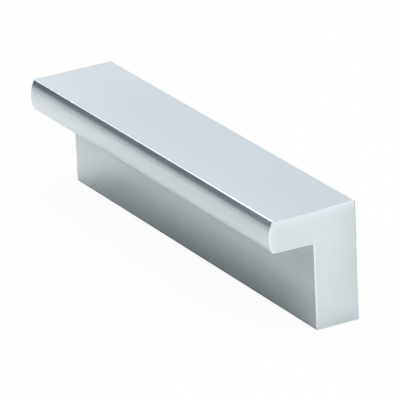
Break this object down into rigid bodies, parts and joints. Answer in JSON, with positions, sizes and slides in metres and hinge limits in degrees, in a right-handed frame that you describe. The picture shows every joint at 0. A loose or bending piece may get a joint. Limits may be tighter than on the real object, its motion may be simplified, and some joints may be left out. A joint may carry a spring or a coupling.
{
  "type": "cabinet pull",
  "caption": "Solid L-shaped cabinet pull: an upright leg on a flat screw-on seat, with an overhanging grip lip whose front is crowned.",
  "frame": {"origin": "on the seat face, half way between the two screw holes and half way through the leg", "axes": "+X along the pull's length; -Y from the leg towards the lip's crowned front, the side fingers come from; +Z away from the door or drawer front, from the seat to the top face"},
  "size_m": [0.106, 0.0212, 0.027],
  "materials": {
    "satin_aluminium": "satin"
  },
  "bodies": {
    "root": {"cabinet_pull": "satin_aluminium"}
  },
  "joints": []
}
